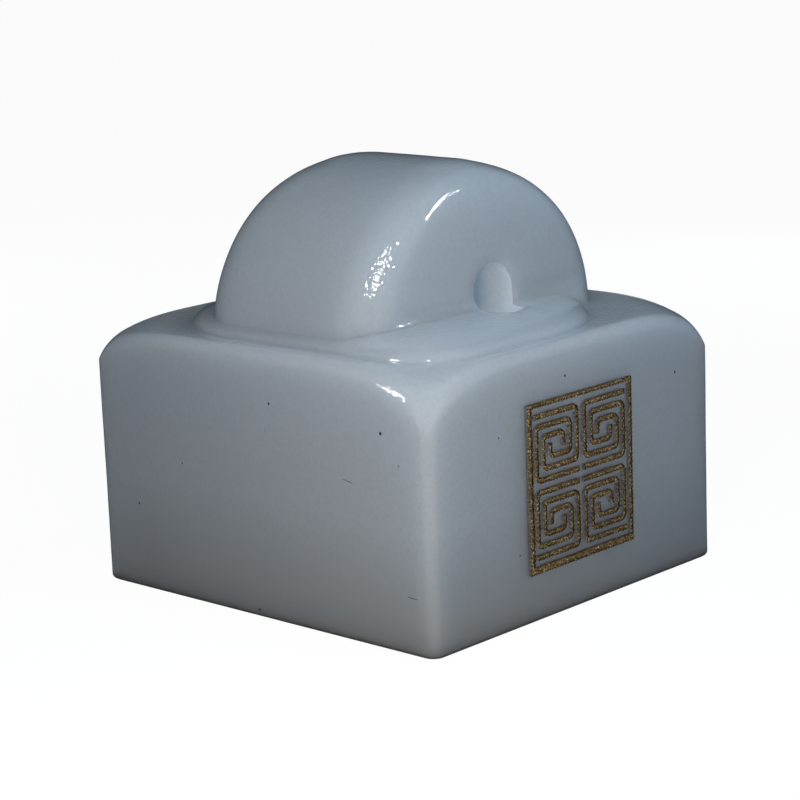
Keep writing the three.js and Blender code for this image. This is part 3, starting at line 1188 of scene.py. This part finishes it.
def stand(side: Side, flat: Points, out: Points, face: float) -> Points:
    """Puts points of a flat design on a side of the block.

    Args:
        side: The side of the block.
        flat: One row of across and up for each point.
        out: How far each point stands out of the side.
        face: Where the side is, along its own axis.

    Returns:
        One row of x, y and z for each point.
    """
    if side is Side.FRONT:
        return np.column_stack([flat[:, 0], face - out, flat[:, 1]])
    return np.column_stack([flat[:, 0], flat[:, 1], face - out])


@dataclass(frozen=True)
class Bed:
    """Where stripes become solids: the side, its place on its own axis, and their floor's level."""

    side: Side
    face: float
    low: float

    def solid(self, name: str, stripe: Stripe, high: Callable, cuts: int) -> bpy.types.Object:
        """Makes a closed body from a stripe.

        Args:
            name: The object's name.
            stripe: The stripe.
            high: The level of its top, from the place and the share of the width.
            cuts: How many points the top has across the stripe.

        Returns:
            The object.
        """
        shares = np.linspace(0, 1, cuts)
        count = len(stripe.right)
        rows = []
        for share in shares:
            flat = stripe.right + (stripe.left - stripe.right) * share
            rows.append(stand(self.side, flat, high(flat, share), self.face))
        for share in shares[::-1]:
            flat = stripe.right + (stripe.left - stripe.right) * share
            rows.append(stand(self.side, flat, np.full(count, self.low), self.face))
        points = np.concatenate(rows)
        ring = len(rows)
        quads = grid_faces(ring + 1, count, closed=stripe.closed)
        faces = [tuple(i % len(points) for i in quad) for quad in quads]
        if not stripe.closed:
            faces.append(tuple(row * count for row in range(ring)))
            faces.append(tuple(row * count + count - 1 for row in reversed(range(ring))))
        made = new_mesh_object(name, points, faces)
        face_outwards(made)
        return made

    def cutters(self, stripes: Sequence[Stripe], title: str) -> list[bpy.types.Object]:
        """Makes one closed mesh for each stripe, from its floor to 1 mm outside the block."""
        return [
            self.solid(f"{title}_{stripe.name}", stripe, lambda flat, share: np.full(len(flat), 1.0), 2)
            for stripe in stripes
        ]


@dataclass
class GiltPanel:
    """The engraved panel on the front: grooves in the stone, and granular gilding in them. Millimetres."""

    front: float = -26.5
    width: float = 18.6
    height: float = 19.4
    centre: Span = (0.5, 15.2)
    frame_line: float = 0.7
    sill_line: float = 0.95
    drawn_lines: Quarters = (0.85, 0.66, 0.85, 0.50)
    groove_depth: float = 0.4
    gilt_top: float = -0.21
    top_points: int = 5
    crown: float = 0.10
    lumps: float = 0.04
    lump_scale: float = 5.5
    tool_marks: float = 0.05
    trim: float = 0.02
    grains_per_mm2: float = 19.0
    grain_radius: Span = (0.030, 0.080)
    drawing: FretDrawing = field(init=False)
    bed: Bed = field(init=False)

    def __post_init__(self) -> None:
        """Draws the design from the panel's sizes."""
        (x, y), half_x, half_y = self.centre, self.width / 2, self.height / 2
        sides = (x - half_x, x + half_x, y - half_y, y + half_y)
        border = Border(*sides, self.frame_line, self.sill_line, self.drawn_lines)
        self.drawing = FretDrawing(
            border, margin=0.55, gap=0.75, line=0.62, ragged=0.05, step=0.08, notch=0.05
        )
        self.bed = Bed(Side.FRONT, self.front, -self.groove_depth)

    def cutters(self, residue_and_shade: bpy.types.Material) -> list[bpy.types.Object]:
        """The shapes of the grooves.

        Args:
            residue_and_shade: The dark finish of the groove walls: brown paint left in them, and painted
                shade.

        Returns:
            One closed mesh for each line.
        """
        made = self.bed.cutters(self.drawing.stripes(), "groove")
        for cutter in made:
            cutter.data.materials.append(residue_and_shade)
        return made

    def _top_level(self, flat: Points, share: float) -> Points:
        """The gilding's uneven top, lower along its edges.

        Args:
            flat: One row of across and up for each point.
            share: The share of the line's width.

        Returns:
            The level at each point.
        """
        bumps = np.array([noise.noise(Vector((x, y, 2.0)) * self.lump_scale) for x, y in flat])
        rough = self.lumps * bumps + self.tool_marks * self.drawing.chatter(flat)
        return self.gilt_top + self.crown * (math.sin(math.pi * share) - 0.5) + rough

    def build(self, finish: bpy.types.Material, grains: "GrainNodes") -> dict[str, bpy.types.Object]:
        """Makes the gilding.

        Args:
            finish: Its material.
            grains: The node tree that strews grains over it.

        Returns:
            The gilt pieces, by the CAD node that each stands for.
        """
        made = {}
        for number, stripe in enumerate(self.drawing.stripes(self.trim)):
            piece = self.bed.solid(f"gilding_{stripe.name}", stripe, self._top_level, self.top_points)
            piece.data.shade_smooth()
            piece.data.materials.append(finish)
            grains.strew(piece, finish, self.grains_per_mm2 / MM**2, self.grain_radius, number)
            made[f"gilt_{stripe.name}"] = piece
        return made


@dataclass
class PrintingFace:
    """The fret cut into the underside, for printing. Millimetres."""

    width: float = 50.0
    depth: float = 53.0
    margin: float = 2.6
    border_line: float = 1.3
    cut_depth: float = 0.6

    def cutters(self) -> list[bpy.types.Object]:
        """The shapes of the cut lines.

        Returns:
            One closed mesh for each line.
        """
        half_x, half_y = self.width / 2 - self.margin, self.depth / 2 - self.margin
        drawn = (self.border_line,) * 4
        border = Border(-half_x, half_x, -half_y, half_y, self.border_line, self.border_line, drawn)
        drawing = FretDrawing(border, margin=1.5, gap=2.2, line=1.5, ragged=0.03, step=0.3, notch=0.0)
        return Bed(Side.UNDER, 0.0, -self.cut_depth).cutters(drawing.stripes(), "print")


class GrainNodes:
    """A Geometry Nodes tree that strews small crumbs over the front of a piece."""

    sockets: dict[str, str] = {
        "Geometry": "NodeSocketGeometry",
        "Density": "NodeSocketFloat",
        "Smallest": "NodeSocketFloat",
        "Largest": "NodeSocketFloat",
        "Seed": "NodeSocketInt",
        "Material": "NodeSocketMaterial",
    }
    least_facing: float = -0.6
    most_turn: Place = (6.28, 6.28, 6.28)
    turn_seed: int = 11
    shine: Span = (0.35, 1.0)
    painted_glint_seed: int = 5

    def __init__(self) -> None:
        """Builds the tree."""
        self.tree = bpy.data.node_groups.new("strewn_grains", "GeometryNodeTree")
        for title, kind in self.sockets.items():
            self.tree.interface.new_socket(title, in_out="INPUT", socket_type=kind)
        self.tree.interface.new_socket("Geometry", in_out="OUTPUT", socket_type="NodeSocketGeometry")
        sheet = Sheet(self.tree)
        given = sheet.node("NodeGroupInput").outputs
        piece, seed = given["Geometry"], given["Seed"]
        facing = sheet.node("ShaderNodeSeparateXYZ", {0: sheet.node("GeometryNodeInputNormal").outputs[0]})
        front = sheet.node(
            "FunctionNodeCompare", {0: facing.outputs["Y"], 1: self.least_facing}, operation="LESS_THAN"
        )
        places = sheet.node(
            "GeometryNodeDistributePointsOnFaces",
            {"Mesh": piece, "Selection": front.outputs[0], "Density": given["Density"], "Seed": seed},
        )
        crumb = sheet.node("GeometryNodeMeshIcoSphere", {"Radius": 1.0, "Subdivisions": 1})
        turn = {0: (0.0, 0.0, 0.0), 1: self.most_turn, "Seed": self.turn_seed}
        strewn = sheet.node(
            "GeometryNodeInstanceOnPoints",
            {
                "Points": places.outputs["Points"],
                "Instance": crumb.outputs["Mesh"],
                "Rotation": sheet.node("FunctionNodeRandomValue", turn, data_type="FLOAT_VECTOR").outputs[0],
                "Scale": self._drawn_number(sheet, given["Smallest"], given["Largest"], seed),
            },
        )
        # Painted highlight: each crumb draws a share of pale gold that stands in for a glint.
        shine = self._drawn_number(sheet, *self.shine, self.painted_glint_seed)
        marked = sheet.node(
            "GeometryNodeStoreNamedAttribute",
            {"Geometry": strewn.outputs[0], "Name": GiltFinish.glint, "Value": shine},
            data_type="FLOAT",
            domain="INSTANCE",
        )
        both = sheet.node("GeometryNodeJoinGeometry")
        for part in (marked.outputs[0], piece):
            self.tree.links.new(part, both.inputs[0])
        real = sheet.node("GeometryNodeRealizeInstances", {0: both.outputs[0]})
        dressed = sheet.node(
            "GeometryNodeSetMaterial", {0: real.outputs[0], "Material": given["Material"]}
        )
        sheet.node("NodeGroupOutput", {0: dressed.outputs[0]})

    @staticmethod
    def _drawn_number(sheet: Sheet, least: object, most: object, seed: object) -> bpy.types.NodeSocket:
        """Adds a node that draws a number for each crumb, and returns its output."""
        inputs = {2: least, 3: most, "Seed": seed}
        return sheet.node("FunctionNodeRandomValue", inputs, data_type="FLOAT").outputs[1]

    def strew(
        self, piece: bpy.types.Object, finish: bpy.types.Material, density: float, radius: Span, seed: int
    ) -> None:
        """Adds the crumbs to a piece for good.

        Args:
            piece: The piece.
            finish: The material of the whole piece.
            density: Crumbs for each square metre.
            radius: Smallest and largest crumb, in millimetres.
            seed: The seed of the scatter.
        """
        modifier = piece.modifiers.new("grains", "NODES")
        modifier.node_group = self.tree
        values = {
            "Density": density,
            "Smallest": radius[0] * MM,
            "Largest": radius[1] * MM,
            "Seed": seed,
            "Material": finish,
        }
        for item in self.tree.interface.items_tree:
            if item.in_out == "INPUT" and item.name in values:
                modifier[item.identifier] = values[item.name]
        settle(piece)


# The studio


def put(target: bpy.types.Object, place: Place, axes: tuple) -> None:
    """Puts an object in the scene, with its own X, Y and Z along three directions."""
    target.matrix_world = Matrix.Translation(place) @ Matrix(axes).transposed().to_4x4()
    bpy.context.scene.collection.objects.link(target)


@dataclass(frozen=True)
class Lamp:
    """What both kinds of lamp have: a name, watts and a colour."""

    name: str
    power: float
    colour: Tint

    def lamp(self, shape: str) -> bpy.types.Object:
        """Makes the area lamp, which the camera doesn't see.

        Args:
            shape: Blender's name for the lamp's shape.

        Returns:
            The lamp, which has no place yet.
        """
        data = bpy.data.lights.new(self.name, "AREA")
        data.shape = shape
        data.energy = self.power
        data.color = self.colour
        made = bpy.data.objects.new(self.name, data)
        made.visible_camera = False
        return made


@dataclass(frozen=True)
class SoftLight(Lamp):
    """A round lamp that points at the middle of the seal and isn't seen as a highlight. Degrees, metres."""

    azimuth: float
    elevation: float
    distance: float
    size: float

    def build(self, aim: Vector) -> None:
        """Puts the lamp in the scene, with its azimuth counted from straight in front of the panel.

        Args:
            aim: The place that it points at.
        """
        lamp = self.lamp("DISK")
        lamp.data.size = self.size
        turn, rise = math.radians(self.azimuth), math.radians(self.elevation)
        way = Vector((math.sin(turn) * math.cos(rise), -math.cos(turn) * math.cos(rise), math.sin(rise)))
        lamp.location = aim + way * self.distance
        lamp.rotation_euler = (-way).to_track_quat("-Z", "Y").to_euler()
        lamp.visible_glossy = False
        bpy.context.scene.collection.objects.link(lamp)


@dataclass(frozen=True)
class GlintLight(Lamp):
    """A small oval lamp with a narrow beam that only makes a highlight. Metres, degrees."""

    place: Place
    target: Place
    along: Place
    size: Span
    beam: float

    def build(self) -> None:
        """Puts the lamp in the scene, with the long way of its oval along the given direction."""
        lamp = self.lamp("ELLIPSE")
        lamp.data.size, lamp.data.size_y = self.size
        lamp.data.spread = math.radians(self.beam)
        lamp.visible_diffuse = False
        back = (Vector(self.place) - Vector(self.target)).normalized()
        along = (Vector(self.along) - back * back.dot(Vector(self.along))).normalized()
        put(lamp, self.place, (along, back.cross(along), back))


@dataclass
class Studio:
    """The floor, the lights and the camera."""

    lens: float = 113.49
    sensor: float = 36.0
    camera_place: Place = (-0.21363, -0.19952, 0.08682)
    camera_right: Place = (0.67711, -0.73495, -0.03706)
    camera_up: Place = (0.18708, 0.12321, 0.97459)
    camera_way: Place = (0.71171, 0.66683, -0.22092)
    aim: Place = (0.0, 0.0, 0.03)
    floor_radius: float = 4000.0
    floor_corners: int = 96
    surroundings: Colour = (0.80, 0.88, 1.0, 1.0)
    surroundings_strength: float = 0.012
    lights: tuple[SoftLight, ...] = (
        SoftLight("low_warm_lamp", 0.0590, (1.0, 0.92, 0.84), -47, 12, 0.130, 0.012),
        SoftLight("left_lamp", 0.0345, (0.74, 0.85, 1.0), -75, 25, 0.130, 0.030),
        SoftLight("low_right_softbox", 0.0330, (0.63, 0.80, 1.0), 6, 24, 0.130, 0.045),
        SoftLight("upper_right_softbox", 0.0285, (0.67, 0.85, 1.0), 10, 60, 0.120, 0.050),
        SoftLight("side_softbox", 0.0600, (0.85, 0.93, 1.0), 112, 12, 0.250, 0.100),
        SoftLight("rear_softbox", 0.1300, (0.88, 0.94, 1.0), 170, 18, 0.300, 0.100),
        SoftLight("left_softbox", 0.0100, (0.90, 0.95, 1.0), -140, 45, 0.250, 0.100),
    )
    glints: tuple[GlintLight, ...] = (
        GlintLight(
            "knob_corner_glint",
            0.00080,
            (0.86, 0.95, 1.0),
            place=(-0.0347, -0.0360, 0.0656),
            target=(-0.0160, -0.0119, 0.0397),
            along=(0.884, -0.319, 0.342),
            size=(0.014, 0.014),
            beam=30,
        ),
        GlintLight(
            "knob_edge_glint",
            0.00080,
            (0.86, 0.95, 1.0),
            place=(0.0391, -0.0665, 0.0808),
            target=(-0.0075, -0.0127, 0.0454),
            along=(0.718, 0.688, 0.100),
            size=(0.0210, 0.008),
            beam=20,
        ),
        GlintLight(
            "shoulder_glint",
            0.00036,
            (0.86, 0.95, 1.0),
            place=(-0.0593, -0.0058, 0.0597),
            target=(-0.0246, -0.0216, 0.0287),
            along=(0.258, -0.712, 0.653),
            size=(0.0210, 0.003),
            beam=24,
        ),
    )

    def build(self, groups: SharedGroups) -> None:
        """Puts the studio in the scene.

        Args:
            groups: The shared shader groups.
        """
        self._floor(groups)
        for light in self.lights:
            light.build(Vector(self.aim))
        for glint in self.glints:
            glint.build()
        self._camera()
        world = bpy.data.worlds.new("surroundings")
        world.use_nodes = True
        sky = world.node_tree.nodes["Background"]
        sky.inputs["Color"].default_value = self.surroundings
        sky.inputs["Strength"].default_value = self.surroundings_strength
        bpy.context.scene.world = world
        bpy.context.scene.view_settings.view_transform = "Standard"

    def _floor(self, groups: SharedGroups) -> None:
        """A large round floor at the level of the printing face.

        Args:
            groups: The shared shader groups.
        """
        count = self.floor_corners
        angles = np.linspace(0, 2 * math.pi, count, endpoint=False)
        rim = np.column_stack([np.cos(angles), np.sin(angles), np.zeros(count)]) * self.floor_radius
        floor = new_mesh_object("floor", rim, [tuple(range(count))])
        floor.data.materials.append(FloorFinish().material(groups))

    def _camera(self) -> None:
        """The camera, at the photograph's angle."""
        data = bpy.data.cameras.new("camera")
        data.lens = self.lens
        data.sensor_width = self.sensor
        data.clip_start = 0.01
        camera = bpy.data.objects.new("camera", data)
        put(camera, self.camera_place, (self.camera_right, self.camera_up, -Vector(self.camera_way)))
        bpy.context.scene.camera = camera


def report_piece(piece: bpy.types.Object) -> None:
    """Logs the size of a finished piece."""
    triangles = sum(len(face.vertices) - 2 for face in piece.data.polygons)
    LOG.info("%s: %d triangles", piece.name, triangles)


def main() -> None:
    """Builds the seal and the studio."""
    logging.basicConfig(level=logging.INFO, format="%(name)s %(message)s")
    groups = SharedGroups(grain_group(), specks_group())
    gilt = GiltFinish().material(groups)
    residue_and_shade = GROOVE_RESIDUE_AND_SHADE.material(groups)
    panel = GiltPanel()
    marks = Blemishes().cutter(DustAndShadeFinish().material(groups))
    stone = SealStone().build(groups, [*panel.cutters(residue_and_shade), *PrintingFace().cutters(), marks])
    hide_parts("seal_body")
    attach(stone, BODY)
    report_piece(stone)
    for node, piece in panel.build(gilt, GrainNodes()).items():
        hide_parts(node)
        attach(piece, BODY)
        report_piece(piece)
    Studio().build(groups)


if __name__ == "__main__":
    main()
